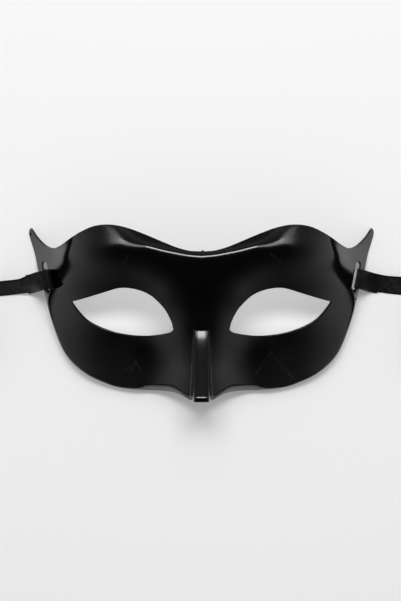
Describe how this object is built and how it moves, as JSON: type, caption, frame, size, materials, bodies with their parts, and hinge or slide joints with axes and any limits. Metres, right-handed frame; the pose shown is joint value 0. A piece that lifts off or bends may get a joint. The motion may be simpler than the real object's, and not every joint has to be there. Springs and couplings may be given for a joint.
{
  "type": "masquerade half mask",
  "caption": "Moulded gloss black half mask with almond eye holes, winged temples, a ridged nose and flat satin ribbon ties through side slots.",
  "frame": {"origin": "on the table under the middle of the shell's width and length, the mask lying face up on its back rim", "axes": "+X to the wearer's left, which is the right as seen from the front, +Y towards the brow, +Z out of the face"},
  "size_m": [0.3088, 0.0892, 0.0465],
  "materials": {
    "shell": "glossy moulded black plastic",
    "ribbon": "flat black satin"
  },
  "bodies": {
    "root": {"mask_shell": "shell", "ribbon_right": "ribbon", "ribbon_right_coil": "ribbon", "ribbon_left": "ribbon", "ribbon_left_coil": "ribbon"}
  },
  "joints": []
}
